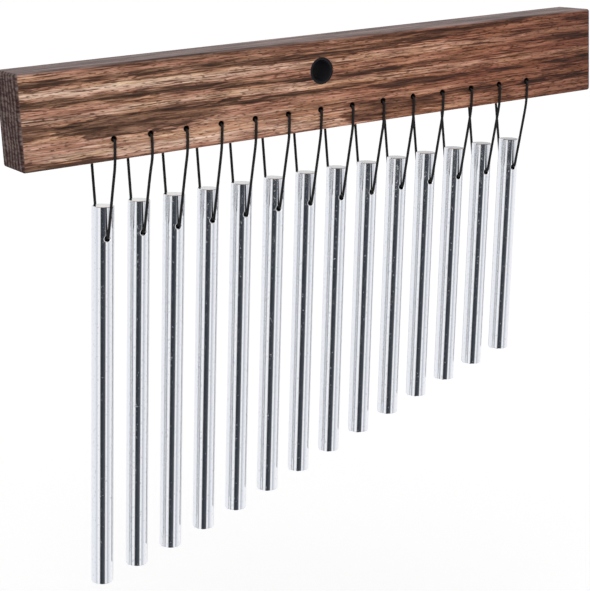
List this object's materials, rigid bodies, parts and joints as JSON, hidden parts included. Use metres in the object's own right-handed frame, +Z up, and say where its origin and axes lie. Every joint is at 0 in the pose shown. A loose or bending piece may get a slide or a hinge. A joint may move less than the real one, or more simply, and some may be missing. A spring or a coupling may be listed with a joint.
{
  "type": "bar chimes",
  "caption": "Bar chimes: a row of solid round metal bars of falling length, each hung on its own cord loop from a wooden mantle with a lined hole for a stand rod.",
  "frame": {"origin": "middle of the stand hole, on its axis and halfway through the mantle", "axes": "+X along the row towards the short bars, +Y along the stand hole to the back, where the knots are, +Z up"},
  "size_m": [0.3015, 0.0271, 0.2503],
  "materials": {
    "mantle_wood": "stained and oiled",
    "bush_black": "matt",
    "bar_aluminium": "polished",
    "cord_black": "braided"
  },
  "bodies": {
    "mantle": {"mantle": "mantle_wood", "stand_bush": "bush_black"},
    "cord_01": {"cord_01": "cord_black"},
    "bar_01": {"bar_01": "bar_aluminium"},
    "cord_02": {"cord_02": "cord_black"},
    "bar_02": {"bar_02": "bar_aluminium"},
    "cord_03": {"cord_03": "cord_black"},
    "bar_03": {"bar_03": "bar_aluminium"},
    "cord_04": {"cord_04": "cord_black"},
    "bar_04": {"bar_04": "bar_aluminium"},
    "cord_05": {"cord_05": "cord_black"},
    "bar_05": {"bar_05": "bar_aluminium"},
    "cord_06": {"cord_06": "cord_black"},
    "bar_06": {"bar_06": "bar_aluminium"},
    "cord_07": {"cord_07": "cord_black"},
    "bar_07": {"bar_07": "bar_aluminium"},
    "cord_08": {"cord_08": "cord_black"},
    "bar_08": {"bar_08": "bar_aluminium"},
    "cord_09": {"cord_09": "cord_black"},
    "bar_09": {"bar_09": "bar_aluminium"},
    "cord_10": {"cord_10": "cord_black"},
    "bar_10": {"bar_10": "bar_aluminium"},
    "cord_11": {"cord_11": "cord_black"},
    "bar_11": {"bar_11": "bar_aluminium"},
    "cord_12": {"cord_12": "cord_black"},
    "bar_12": {"bar_12": "bar_aluminium"},
    "cord_13": {"cord_13": "cord_black"},
    "bar_13": {"bar_13": "bar_aluminium"},
    "cord_14": {"cord_14": "cord_black"},
    "bar_14": {"bar_14": "bar_aluminium"}
  },
  "joints": [
    {"name": "cord_01_swing", "type": "hinge", "parent": "mantle", "child": "cord_01", "pos_m": [-0.1003, 0, -0.02613], "axis": [0, -1, 0], "range_deg": [-25, 2]},
    {"name": "bar_01_swing", "type": "hinge", "parent": "cord_01", "child": "bar_01", "pos_m": [-0.1003, 0, -0.06833], "axis": [0, -1, 0], "range_deg": [-25, 2.55]},
    {"name": "cord_02_swing", "type": "hinge", "parent": "mantle", "child": "cord_02", "pos_m": [-0.08356, 0, -0.02473], "axis": [0, -1, 0], "range_deg": [-2, 2.05]},
    {"name": "bar_02_swing", "type": "hinge", "parent": "cord_02", "child": "bar_02", "pos_m": [-0.08356, 0, -0.06693], "axis": [0, -1, 0], "range_deg": [-2.55, 2.65]},
    {"name": "cord_03_swing", "type": "hinge", "parent": "mantle", "child": "cord_03", "pos_m": [-0.06682, 0, -0.02332], "axis": [0, -1, 0], "range_deg": [-2.05, 2.1]},
    {"name": "bar_03_swing", "type": "hinge", "parent": "cord_03", "child": "bar_03", "pos_m": [-0.06682, 0, -0.06552], "axis": [0, -1, 0], "range_deg": [-2.6, 2.7]},
    {"name": "cord_04_swing", "type": "hinge", "parent": "mantle", "child": "cord_04", "pos_m": [-0.05008, 0, -0.02192], "axis": [0, -1, 0], "range_deg": [-2.1, 2.15]},
    {"name": "bar_04_swing", "type": "hinge", "parent": "cord_04", "child": "bar_04", "pos_m": [-0.05008, 0, -0.06412], "axis": [0, -1, 0], "range_deg": [-2.7, 2.8]},
    {"name": "cord_05_swing", "type": "hinge", "parent": "mantle", "child": "cord_05", "pos_m": [-0.03334, 0, -0.02051], "axis": [0, -1, 0], "range_deg": [-2.15, 2.2]},
    {"name": "bar_05_swing", "type": "hinge", "parent": "cord_05", "child": "bar_05", "pos_m": [-0.03334, 0, -0.06271], "axis": [0, -1, 0], "range_deg": [-2.8, 2.9]},
    {"name": "cord_06_swing", "type": "hinge", "parent": "mantle", "child": "cord_06", "pos_m": [-0.0166, 0, -0.0191], "axis": [0, -1, 0], "range_deg": [-2.2, 2.3]},
    {"name": "bar_06_swing", "type": "hinge", "parent": "cord_06", "child": "bar_06", "pos_m": [-0.0166, 0, -0.0613], "axis": [0, -1, 0], "range_deg": [-2.9, 3.05]},
    {"name": "cord_07_swing", "type": "hinge", "parent": "mantle", "child": "cord_07", "pos_m": [0.00014, 0, -0.0177], "axis": [0, -1, 0], "range_deg": [-2.25, 2.35]},
    {"name": "bar_07_swing", "type": "hinge", "parent": "cord_07", "child": "bar_07", "pos_m": [0.00014, 0, -0.0599], "axis": [0, -1, 0], "range_deg": [-3.05, 3.2]},
    {"name": "cord_08_swing", "type": "hinge", "parent": "mantle", "child": "cord_08", "pos_m": [0.01688, 0, -0.01629], "axis": [0, -1, 0], "range_deg": [-2.35, 2.45]},
    {"name": "bar_08_swing", "type": "hinge", "parent": "cord_08", "child": "bar_08", "pos_m": [0.01688, 0, -0.05849], "axis": [0, -1, 0], "range_deg": [-3.15, 3.35]},
    {"name": "cord_09_swing", "type": "hinge", "parent": "mantle", "child": "cord_09", "pos_m": [0.03363, 0, -0.01489], "axis": [0, -1, 0], "range_deg": [-2.45, 2.55]},
    {"name": "bar_09_swing", "type": "hinge", "parent": "cord_09", "child": "bar_09", "pos_m": [0.03363, 0, -0.05709], "axis": [0, -1, 0], "range_deg": [-3.3, 3.5]},
    {"name": "cord_10_swing", "type": "hinge", "parent": "mantle", "child": "cord_10", "pos_m": [0.05037, 0, -0.01348], "axis": [0, -1, 0], "range_deg": [-2.5, 2.6]},
    {"name": "bar_10_swing", "type": "hinge", "parent": "cord_10", "child": "bar_10", "pos_m": [0.05037, 0, -0.05568], "axis": [0, -1, 0], "range_deg": [-3.5, 3.7]},
    {"name": "cord_11_swing", "type": "hinge", "parent": "mantle", "child": "cord_11", "pos_m": [0.06711, 0, -0.01208], "axis": [0, -1, 0], "range_deg": [-2.6, 2.7]},
    {"name": "bar_11_swing", "type": "hinge", "parent": "cord_11", "child": "bar_11", "pos_m": [0.06711, 0, -0.05428], "axis": [0, -1, 0], "range_deg": [-3.65, 3.85]},
    {"name": "cord_12_swing", "type": "hinge", "parent": "mantle", "child": "cord_12", "pos_m": [0.08385, 0, -0.01067], "axis": [0, -1, 0], "range_deg": [-2.7, 2.8]},
    {"name": "bar_12_swing", "type": "hinge", "parent": "cord_12", "child": "bar_12", "pos_m": [0.08385, 0, -0.05287], "axis": [0, -1, 0], "range_deg": [-3.8, 4.05]},
    {"name": "cord_13_swing", "type": "hinge", "parent": "mantle", "child": "cord_13", "pos_m": [0.10059, 0, -0.00926], "axis": [0, -1, 0], "range_deg": [-2.8, 2.9]},
    {"name": "bar_13_swing", "type": "hinge", "parent": "cord_13", "child": "bar_13", "pos_m": [0.10059, 0, -0.05146], "axis": [0, -1, 0], "range_deg": [-4, 4.25]},
    {"name": "cord_14_swing", "type": "hinge", "parent": "mantle", "child": "cord_14", "pos_m": [0.11733, 0, -0.00786], "axis": [0, -1, 0], "range_deg": [-2.85, 25]},
    {"name": "bar_14_swing", "type": "hinge", "parent": "cord_14", "child": "bar_14", "pos_m": [0.11733, 0, -0.05006], "axis": [0, -1, 0], "range_deg": [-4.2, 25]}
  ]
}
